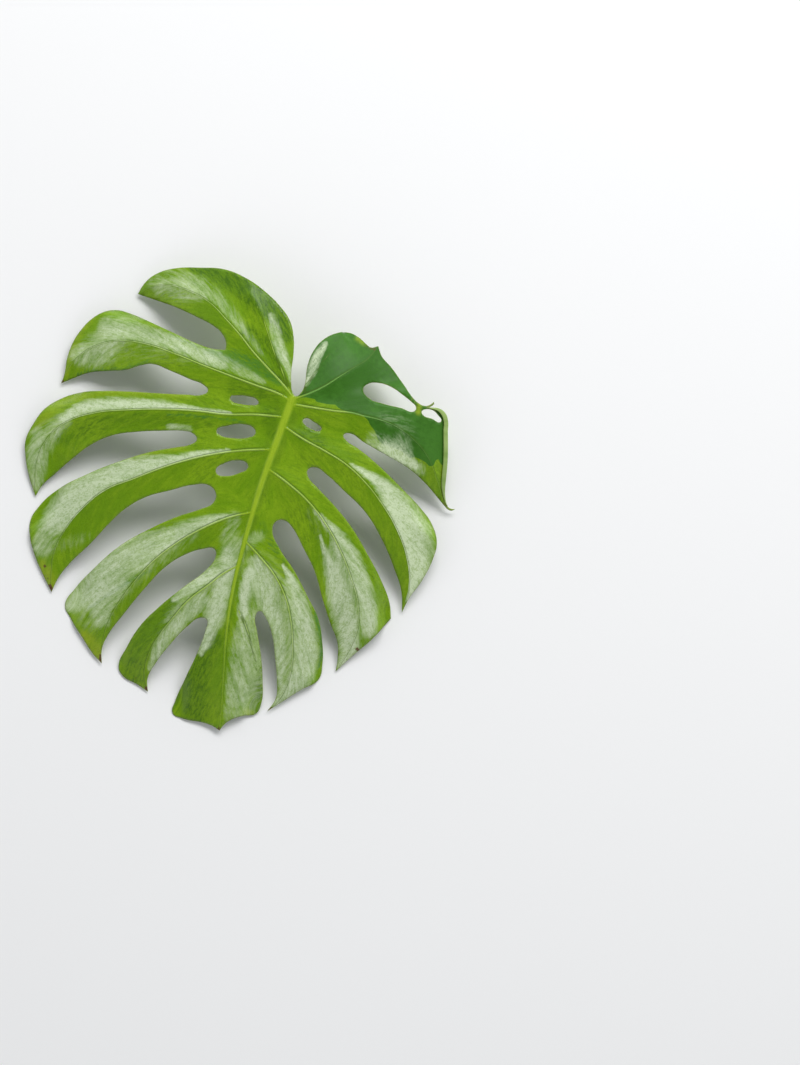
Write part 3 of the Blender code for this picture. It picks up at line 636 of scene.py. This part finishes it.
def plan_points(loops):
    """The mesh points of the plan: the margin, rows along every vein, and a triangular grid between them."""
    taken = [tuple(p) for loop in loops for p in loop]
    tree = KDTree(TREE_ROOM)
    add_to_tree(tree, taken)
    for name, (knots, _, _) in VEINS.items():
        line = smooth_line(knots, VEIN_STEP)
        ahead = np.gradient(line, axis=0)
        ahead /= np.linalg.norm(ahead, axis=1)[:, None]
        across = np.stack([-ahead[:, 1], ahead[:, 0]], axis=1)
        share = np.linspace(0, 1, len(line))[:, None]
        half = np.maximum(tapered(VEIN_HALF[form_of(name)], share), ROW_HALF)
        rows = [line + side * row * half * across for row in VEIN_ROWS for side in ((1, -1) if row else (1,))]
        fresh = np.vstack(rows)
        kept = [tuple(p) for p in fresh[inside(fresh, loops)] if clearance(tree, p) > ROW_CLEARANCE]
        add_to_tree(tree, kept, len(taken))
        taken += kept
    low, high = np.min(taken, axis=0), np.max(taken, axis=0)
    rise = GRID_STEP * math.sin(math.radians(60))
    grid = []
    for row in range(math.ceil((high[1] - low[1]) / rise)):
        xs = np.arange(low[0] + 0.5 * (row % 2) * GRID_STEP, high[0], GRID_STEP)
        grid += [(x, low[1] + row * rise) for x in xs]
    grid = np.array(grid)
    return taken + [tuple(p) for p in grid[inside(grid, loops)] if clearance(tree, p) > GRID_CLEARANCE]


def flat_sheet():
    """The plan as points and triangles, with each point's distance to the margin."""
    loops = outline_loops(MARGIN_STEP)
    points = plan_points(loops)
    edges = []
    for loop in loops:
        first = len(edges)
        edges += [(first + i, first + (i + 1) % len(loop)) for i in range(len(loop))]
    places, _, faces, _, _, _ = delaunay_2d_cdt([Vector(p) for p in points], edges, [], 0, SAME_POINT)
    places = np.array([tuple(p) for p in places])
    faces = np.array(faces)
    faces = faces[inside(places[faces].mean(axis=1), loops)]
    used = np.unique(faces)
    fresh = np.full(len(places), -1)
    fresh[used] = np.arange(len(used))
    places, faces = places[used], fresh[faces]
    tree = KDTree(TREE_ROOM)
    add_to_tree(tree, np.vstack(outline_loops(FINE_STEP)))
    return places, faces, np.array([clearance(tree, p) for p in places])


def rolled_margin(corners):
    """Where the margin rolls up and back over the blade: new corners, the ones they come from, and faces."""
    loop = smooth_line(MARGIN, MARGIN_STEP, closed=True)
    from_place, to_place = (np.linalg.norm(loop - np.array(p) * MM, axis=1).argmin() for p in ROLL_ENDS)
    loop = loop[from_place:to_place + 1]
    row = [int(np.linalg.norm(corners[:, :2] - p, axis=1).argmin()) for p in loop]
    run = np.gradient(loop, axis=0)
    outward = np.column_stack([run[:, 1], -run[:, 0]]) / np.linalg.norm(run, axis=1)[:, None]
    share = np.linspace(0, 1, len(row))
    grown, falling = ROLL_FULL
    swell = smooth_step(share, 0, grown) * (1 - smooth_step(share, falling, 1))
    thin, short = ROLL_LEAST
    radius = ROLL_RADIUS * (thin + (1 - thin) * swell)
    fold = ROLL_WIDTH * (short + (1 - short) * swell)
    rings = [(radius * math.sin(turn), radius * (1 - math.cos(turn))) for turn in np.linspace(*ROLL_TURNS)]
    rings += [(-fold * part, 2 * radius + ROLL_RISE * fold * part) for part in ROLL_FLATS]
    made, sources, faces = [], [], []
    below = row
    for out, up in rings:
        ring = corners[row] + np.column_stack([outward * out[:, None], up])
        first = len(corners) + len(made)
        above = list(range(first, first + len(row)))
        made += ring.tolist()
        sources += row
        faces += [(below[i + 1], below[i], above[i], above[i + 1]) for i in range(len(row) - 1)]
        below = above
    return made, sources, faces


def new_object(name, data):
    made = bpy.data.objects.new(name, data)
    bpy.context.scene.collection.objects.link(made)
    return made


def make_blade(materials):
    places, faces, margin_distance = flat_sheet()
    plan = Plan(places, margin_distance)
    heights = blade_height(plan) + vein_relief(plan) + skin_relief(plan)
    corners = np.column_stack([places, heights])
    rolled, sources, strip = rolled_margin(corners)
    mesh = bpy.data.meshes.new("blade")
    mesh.from_pydata(corners.tolist() + rolled, [], faces.tolist() + strip)
    mesh.update()
    sources = np.concatenate([np.arange(len(places)), sources])
    beside, further = PAINTED_SHEEN_START
    off_midrib = smooth_step(plan.aside["midrib"] - beside * plan.half["midrib"], 0, further)
    values = {
        "vein": vein_place(plan),
        "vein_show": vein_show(plan),
        "flank": plan.of_nearest(plan.flank.values()),
        "from_midrib": plan.aside["midrib"] / MM,
        "streak": streak_place(plan) / (MM, MM, 1),
        "seam": smooth_step(plan.seam, 0, SEAM_WIDTH),
        "edge": margin_distance / MM,
        "sector": sector_depth(plan),
    }
    for kind in STROKES:
        values[kind] = tone(kind, plan)
    # the painted sheen is kept off the midrib
    values["painted_sheen"] *= off_midrib
    for name, value in values.items():
        put_attribute(mesh, name, value[sources])
    blade = new_object("blade", mesh)
    deepest = RIB_DEPTH["midrib"]
    group = blade.vertex_groups.new(name="rib depth")
    depths = (rib_depth(plan) - BLADE_THICKNESS) / (deepest - BLADE_THICKNESS)
    for i, depth in enumerate(depths[sources]):
        group.add([i], float(depth), "REPLACE")
    for material in materials:
        mesh.materials.append(material)
    solidify = blade.modifiers.new("thickness", "SOLIDIFY")
    solidify.thickness = deepest
    solidify.vertex_group = "rib depth"
    solidify.thickness_vertex_group = BLADE_THICKNESS / deepest
    solidify.offset = -1
    solidify.material_offset = 1
    solidify.material_offset_rim = 2
    mesh.shade_smooth()
    return blade


# --- The stalk ---


def make_stalk(material):
    data = bpy.data.curves.new("stalk", "CURVE")
    data.dimensions = "3D"
    data.bevel_depth = 1 * MM
    data.bevel_resolution = 6
    data.use_fill_caps = True
    spline = data.splines.new("BEZIER")
    spline.bezier_points.add(len(STALK) - 1)
    for point, (x, y, height, radius) in zip(spline.bezier_points, STALK):
        point.co = Vector((x, y, height)) * MM
        point.handle_left_type = point.handle_right_type = "AUTO"
        point.radius = radius
    curve = new_object("stalk curve", data)
    bpy.context.view_layer.update()
    graph = bpy.context.evaluated_depsgraph_get()
    mesh = bpy.data.meshes.new_from_object(curve.evaluated_get(graph))
    bpy.data.objects.remove(curve)
    welded = bmesh.new()
    welded.from_mesh(mesh)
    bmesh.ops.remove_doubles(welded, verts=welded.verts, dist=WELD)
    bmesh.ops.recalc_face_normals(welded, faces=welded.faces)
    welded.to_mesh(mesh)
    welded.free()
    stalk = new_object("stalk", mesh)
    mesh.materials.clear()
    mesh.materials.append(material)
    mesh.shade_smooth()
    mesh.set_sharp_from_angle(angle=CUT_ANGLE)
    return stalk


# --- Materials ---


class Graph:
    """A material's nodes. A socket's value is a number, a colour or another node's output."""

    def __init__(self, name):
        self.material = bpy.data.materials.new(name)
        self.material.use_nodes = True
        self.tree = self.material.node_tree
        self.shader = self.tree.nodes["Principled BSDF"]

    def fill(self, socket, value):
        if isinstance(value, bpy.types.NodeSocket):
            self.tree.links.new(value, socket)
        elif isinstance(value, tuple) and len(value) == 3 and socket.type == "RGBA":
            socket.default_value = (*value, 1)
        else:
            socket.default_value = value

    def node(self, kind, sockets, **settings):
        made = self.tree.nodes.new(kind)
        for key, value in settings.items():
            setattr(made, key, value)
        for key, value in sockets.items():
            self.fill(made.inputs[key], value)
        return made

    def math(self, operation, first, second, clamp=False):
        node = self.node("ShaderNodeMath", {0: first, 1: second}, operation=operation, use_clamp=clamp)
        return node.outputs[0]

    def times(self, first, second):
        return self.math("MULTIPLY", first, second)

    def plus(self, first, second, clamp=False):
        return self.math("ADD", first, second, clamp)

    def swing(self, pattern, size):
        """A pattern that lies about a half, moved to lie about zero and multiplied by a size."""
        return self.times(self.math("SUBTRACT", pattern, 0.5), size)

    def mix(self, share, first, second):
        node = self.node("ShaderNodeMix", {0: share, 6: first, 7: second}, data_type="RGBA")
        return node.outputs[2]

    def step(self, value, low, high, to_low=0.0, to_high=1.0):
        sockets = {"Value": value, "From Min": low, "From Max": high, "To Min": to_low, "To Max": to_high}
        node = self.node("ShaderNodeMapRange", sockets, interpolation_type="SMOOTHSTEP")
        return node.outputs[0]

    def blend(self, parts):
        """The sum of several values, each with its own share."""
        total = 0.0
        for value, share in parts:
            total = self.plus(self.times(value, share), total)
        return total

    def attribute(self, name, vector=False):
        node = self.node("ShaderNodeAttribute", {}, attribute_name=name)
        return node.outputs["Vector" if vector else "Fac"]

    def stretched(self, vector, scale):
        node = self.node("ShaderNodeVectorMath", {0: vector, 1: scale}, operation="MULTIPLY")
        return node.outputs[0]

    def place(self):
        return self.node("ShaderNodeTexCoord", {}).outputs["Object"]

    def noise(self, vector, scale, detail=2.0, roughness=0.5):
        sockets = {"Vector": vector, "Scale": scale, "Detail": detail, "Roughness": roughness}
        return self.node("ShaderNodeTexNoise", sockets).outputs["Fac"]

    def bump(self, height, strength, distance, normal=None):
        sockets = {"Height": height, "Strength": strength, "Distance": distance}
        if normal is not None:
            sockets["Normal"] = normal
        return self.node("ShaderNodeBump", sockets).outputs[0]

    def finish(self, sockets):
        for key, value in sockets.items():
            self.fill(self.shader.inputs[key], value)
        return self.material


LIME = (0.198, 0.345, 0.008)
GREEN = (0.14, 0.28, 0.004)
# darker green, partly painted shade
DEEP_GREEN_AND_SHADE_COLOUR = (0.074, 0.172, 0.004)
CRINKLE = (0.045, 0.12, 0.004)
FLECK = (0.02, 0.06, 0.01)
TEAL = (0.055, 0.185, 0.026)
# painted sheen: the pale highlight colour, and a dimmer one
PAINTED_SHEEN_COLOUR = (0.565, 0.665, 0.43)
PAINTED_SHEEN_DIM_COLOUR = (0.5198, 0.6118, 0.3956)
SECTOR_GREEN = (0.03, 0.125, 0.004)
SECTOR_LIGHT = (0.046, 0.165, 0.012)
YELLOW = (0.27, 0.37, 0.016)
MIDRIB_COLOUR = (0.30, 0.44, 0.022)
MIDRIB_EDGE = (0.20, 0.33, 0.01)
SECTOR_VEIN = (0.15, 0.34, 0.06)
VEIN_COLOUR = (0.33, 0.48, 0.08)
SHADOW_LINE = (0.06, 0.115, 0.01)
BROWN = (0.10, 0.05, 0.018)
MARGIN_COLOUR = (0.24, 0.28, 0.06)
UNDER_GREEN = (0.19, 0.31, 0.06)
UNDER_LIGHT = (0.28, 0.40, 0.11)
STALK_GREEN = (0.10, 0.20, 0.022)
STALK_LIGHT = (0.22, 0.34, 0.06)
FLOOR_WHITE = (0.86, 0.86, 0.86)

# Patterns drawn out along the lateral veins: their scale across and along them, per millimetre, and the shift
# from one vein to the next.
STREAKS = {"broad": (1 / 7, 1 / 48, 7.3), "fine": (1 / 3, 1 / 13, 5.1), "crinkle": (1 / 1.7, 1 / 4.6, 3.7)}
UNDER_STREAKS = (1 / 16, 1 / 90, 7.3)
ALONG_MIDRIB = (900, 60, 0)  # lines along the midrib, per metre
STALK_STRETCH = (1.0, 0.35, 1.0)
NO_PATTERN = (0.5, 0.5, 0.5)  # the middle of every pattern


def upper_material():
    g = Graph("leaf_upper")
    streak = g.attribute("streak", vector=True)
    seam = g.attribute("seam")
    place = g.place()
    broad = g.noise(g.stretched(streak, STREAKS["broad"]), 1.0, 4.0, 0.6)
    fine = g.mix(seam, NO_PATTERN, g.noise(g.stretched(streak, STREAKS["fine"]), 1.0, 4.0, 0.65))
    crinkle = g.mix(seam, NO_PATTERN, g.noise(g.stretched(streak, STREAKS["crinkle"]), 1.0, 3.0, 0.6))
    cloud = g.noise(place, 13.0, 3.0)
    mottle = g.noise(place, 130.0, 3.0, 0.6)
    speckle = g.noise(place, 480.0, 2.0, 0.7)
    grain = g.blend(((mottle, 0.25), (speckle, 0.35), (crinkle, 0.40)))

    # ground colour: lime to green in clouds, with darker crinkled streaks in some of them
    colour = g.mix(g.step(g.blend(((broad, 0.5), (cloud, 0.5))), 0.40, 0.60), GREEN, LIME)
    # darker green where the strokes put it: partly the leaf's own, partly painted shade
    deep_green_and_shade = g.times(g.attribute("deep_green_and_shade"), g.step(fine, 0.35, 0.6, 0.6, 1.0))
    colour = g.mix(deep_green_and_shade, colour, DEEP_GREEN_AND_SHADE_COLOUR)
    patchy = g.plus(g.step(cloud, 0.45, 0.65, 0.2, 0.6), g.attribute("deep_green_and_shade"), clamp=True)
    streaks = g.times(g.step(g.blend(((fine, 0.6), (crinkle, 0.4))), 0.48, 0.58), patchy)
    colour = g.mix(g.times(streaks, 0.75), colour, CRINKLE)
    bluish = g.plus(g.attribute("teal"), g.swing(fine, 1.6))
    bluish = g.times(g.step(bluish, 0.15, 0.75), g.step(g.attribute("teal"), 0.0, 0.2))
    colour = g.mix(g.times(bluish, g.step(grain, 0.42, 0.56, 0.45, 0.9)), colour, TEAL)

    # dark green sector, with a ragged edge
    shade = g.step(g.blend(((cloud, 0.7), (mottle, 0.3))), 0.40, 0.62)
    ragged = g.plus(g.attribute("sector"), g.swing(speckle, 1.5))
    colour = g.mix(g.step(ragged, -0.4, 0.4), colour, g.mix(shade, SECTOR_GREEN, SECTOR_LIGHT))
    yellow = g.times(g.attribute("yellow"), g.step(broad, 0.25, 0.6, 0.3, 1.0))
    colour = g.mix(yellow, colour, YELLOW)
    colour = g.mix(g.step(grain, 0.42, 0.56, 0.16, 0.0), colour, FLECK)

    # painted sheen: a pale highlight colour brushed along the lobes, with small dark flecks left in it
    brushed = g.blend(((fine, 0.35), (broad, 0.55), (mottle, 0.10)))
    painted = g.attribute("painted_sheen")
    painted_sheen = g.plus(painted, g.swing(brushed, 2.6), clamp=True)
    painted_sheen = g.times(painted_sheen, g.step(painted, 0.0, 0.3))
    painted_sheen = g.times(painted_sheen, g.step(grain, 0.40, 0.54, 0.55, 1.0))
    colour = g.mix(painted_sheen, colour, g.mix(g.step(cloud, 0.4, 0.6), PAINTED_SHEEN_DIM_COLOUR, PAINTED_SHEEN_COLOUR))

    # veins: a pale line, with a painted shadow line beside it in the furrow, strongest on the side that faces
    # the leaf's base
    vein = g.attribute("vein")
    shown = g.attribute("vein_show")
    off_midrib = g.step(g.attribute("from_midrib"), 7.0, 30.0)
    furrow_shadow = g.times(g.step(vein, 0.95, 1.25), g.step(vein, 1.6, 3.2, 1.0, 0.0))
    furrow_shadow = g.times(furrow_shadow, g.step(g.attribute("flank"), -0.5, 0.5, 0.15, 0.7))
    furrow_shadow = g.times(furrow_shadow, g.step(off_midrib, 0.0, 1.0, 0.35, 1.0))
    colour = g.mix(furrow_shadow, colour, SHADOW_LINE)
    along = g.noise(g.stretched(place, ALONG_MIDRIB), 1.0)
    rib = g.mix(g.step(vein, 0.35, 0.95), MIDRIB_COLOUR, MIDRIB_EDGE)
    rib = g.mix(g.step(along, 0.4, 0.65, 0.0, 0.5), rib, MIDRIB_EDGE)
    in_sector = g.step(g.attribute("sector"), -1.0, 1.0)
    hue = g.mix(off_midrib, rib, g.mix(in_sector, VEIN_COLOUR, SECTOR_VEIN))
    colour = g.mix(g.times(g.step(vein, 0.6, 1.15, 1.0, 0.0), shown), colour, hue)
    brown = g.plus(g.attribute("brown"), g.swing(speckle, 0.6))
    colour = g.mix(g.step(brown, 0.35, 0.6), colour, BROWN)
    colour = g.mix(g.step(g.attribute("edge"), 0.2, 1.2, 0.6, 0.0), colour, MARGIN_COLOUR)
    gloss = g.step(grain, 0.4, 0.6, 0.26, 0.32)
    matt = g.times(in_sector, 0.2)
    return g.finish({
        "Base Color": colour,
        "Roughness": g.plus(g.plus(gloss, g.times(painted_sheen, 0.12)), matt),
        "Normal": g.bump(grain, 0.5, 0.4 * MM, g.bump(fine, 0.4, 0.35 * MM)),
        "Specular IOR Level": 0.22,
    })


def lower_material():
    g = Graph("leaf_lower")
    streak = g.attribute("streak", vector=True)
    broad = g.noise(g.stretched(streak, UNDER_STREAKS), 1.0, 3.0)
    speckle = g.noise(g.place(), 420.0, 3.0, 0.7)
    colour = g.mix(g.step(broad, 0.35, 0.65), UNDER_GREEN, UNDER_LIGHT)
    colour = g.mix(g.step(g.attribute("vein"), 1.2, 1.9, 0.9, 0.0), colour, VEIN_COLOUR)
    return g.finish({
        "Base Color": colour,
        "Roughness": g.step(speckle, 0.3, 0.7, 0.48, 0.62),
        "Normal": g.bump(speckle, 0.4, 0.3 * MM, g.bump(broad, 0.5, 0.5 * MM)),
    })


def rim_material():
    g = Graph("leaf_rim")
    speckle = g.noise(g.place(), 300.0, 2.0)
    return g.finish({"Base Color": g.mix(speckle, MARGIN_COLOUR, YELLOW), "Roughness": 0.5})


def stalk_material():
    g = Graph("stalk_skin")
    speckle = g.noise(g.stretched(g.place(), STALK_STRETCH), 260.0, 3.0)
    return g.finish({
        "Base Color": g.mix(g.step(speckle, 0.4, 0.62), STALK_GREEN, STALK_LIGHT),
        "Roughness": g.step(speckle, 0.3, 0.7, 0.34, 0.5),
        "Normal": g.bump(speckle, 0.3, 0.4 * MM),
    })


def floor_material():
    g = Graph("floor")
    return g.finish({"Base Color": FLOOR_WHITE, "Roughness": 0.9, "Specular IOR Level": 0.1})


# --- Building ---

blade = make_blade((upper_material(), lower_material(), rim_material()))
stalk = make_stalk(stalk_material())

outline = smooth_line(MARGIN, MARGIN_STEP, closed=True)
middle = (outline.min(axis=0) + outline.max(axis=0)) / 2
low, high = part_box(NODE)
offset = Vector(((low.x + high.x) / 2 - middle[0], (low.y + high.y) / 2 - middle[1], 0))
for piece in (blade, stalk):
    piece.location = offset
bpy.context.view_layer.update()
graph = bpy.context.evaluated_depsgraph_get()
lowest = min(c[2] for piece in (blade, stalk) for c in piece.evaluated_get(graph).bound_box)
for piece in (blade, stalk):
    piece.location.z = low.z - lowest
    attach(piece, BODY)
    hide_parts(NODE)

# --- Floor, light and camera ---

bpy.ops.mesh.primitive_plane_add(size=40, location=(0, 0, 0))
floor = bpy.context.object
floor.name = "floor"
floor.data.materials.append(floor_material())

# Soft light all round, low down, and a dim ceiling, so that flat leaf keeps its colour.
SKY_DIMMING = {"From Min": 0.45, "From Max": 0.85, "To Min": 1.0, "To Max": 0.12}
SKY_COLOUR = (0.96, 0.98, 1.0, 1)
world = bpy.data.worlds.new("studio")
world.use_nodes = True
sky = world.node_tree
direction = sky.nodes.new("ShaderNodeTexCoord").outputs["Generated"]
split = sky.nodes.new("ShaderNodeSeparateXYZ")
rise = sky.nodes.new("ShaderNodeMapRange")
sky.links.new(direction, split.inputs[0])
sky.links.new(split.outputs["Z"], rise.inputs["Value"])
for key, value in SKY_DIMMING.items():
    rise.inputs[key].default_value = value
sky.links.new(rise.outputs[0], sky.nodes["Background"].inputs["Strength"])
sky.nodes["Background"].inputs["Color"].default_value = SKY_COLOUR
bpy.context.scene.world = world

LIGHT_AZIMUTH = math.radians(80)  # where the window is, from the plan's +X towards +Y
LIGHT_ELEVATION = math.radians(42)
LIGHT_DISTANCE = 7.0
LIGHT_SIZE = (6.0, 2.6)
LIGHT_POWER = 450
lamp_data = bpy.data.lights.new("window", "AREA")
lamp_data.shape = "RECTANGLE"
lamp_data.size, lamp_data.size_y = LIGHT_SIZE
lamp_data.energy = LIGHT_POWER
lamp = new_object("window", lamp_data)
lamp.location = Vector((math.cos(LIGHT_AZIMUTH), math.sin(LIGHT_AZIMUTH), math.tan(LIGHT_ELEVATION)))
lamp.location *= LIGHT_DISTANCE * math.cos(LIGHT_ELEVATION)
lamp.rotation_euler = (math.pi / 2 - LIGHT_ELEVATION, 0, LIGHT_AZIMUTH + math.pi / 2)

CAMERA_TURN = math.radians(12.2)  # the leaf's tip points down and a little to the left in the picture
CAMERA_DISTANCE = 5.5
LEVEL = 20 * MM  # the height at which the picture has its scale
FIELD_HEIGHT = 1.704  # metres seen from top to bottom, at that level
AIM = Vector((211, -173, 0)) * MM
camera_data = bpy.data.cameras.new("camera")
camera_data.lens = camera_data.sensor_width * (CAMERA_DISTANCE - LEVEL) / FIELD_HEIGHT
camera = new_object("camera", camera_data)
camera.location = offset + AIM + Vector((0, 0, CAMERA_DISTANCE))
camera.rotation_euler = (0, 0, CAMERA_TURN)
bpy.context.scene.camera = camera

bpy.context.scene.view_settings.view_transform = "Standard"
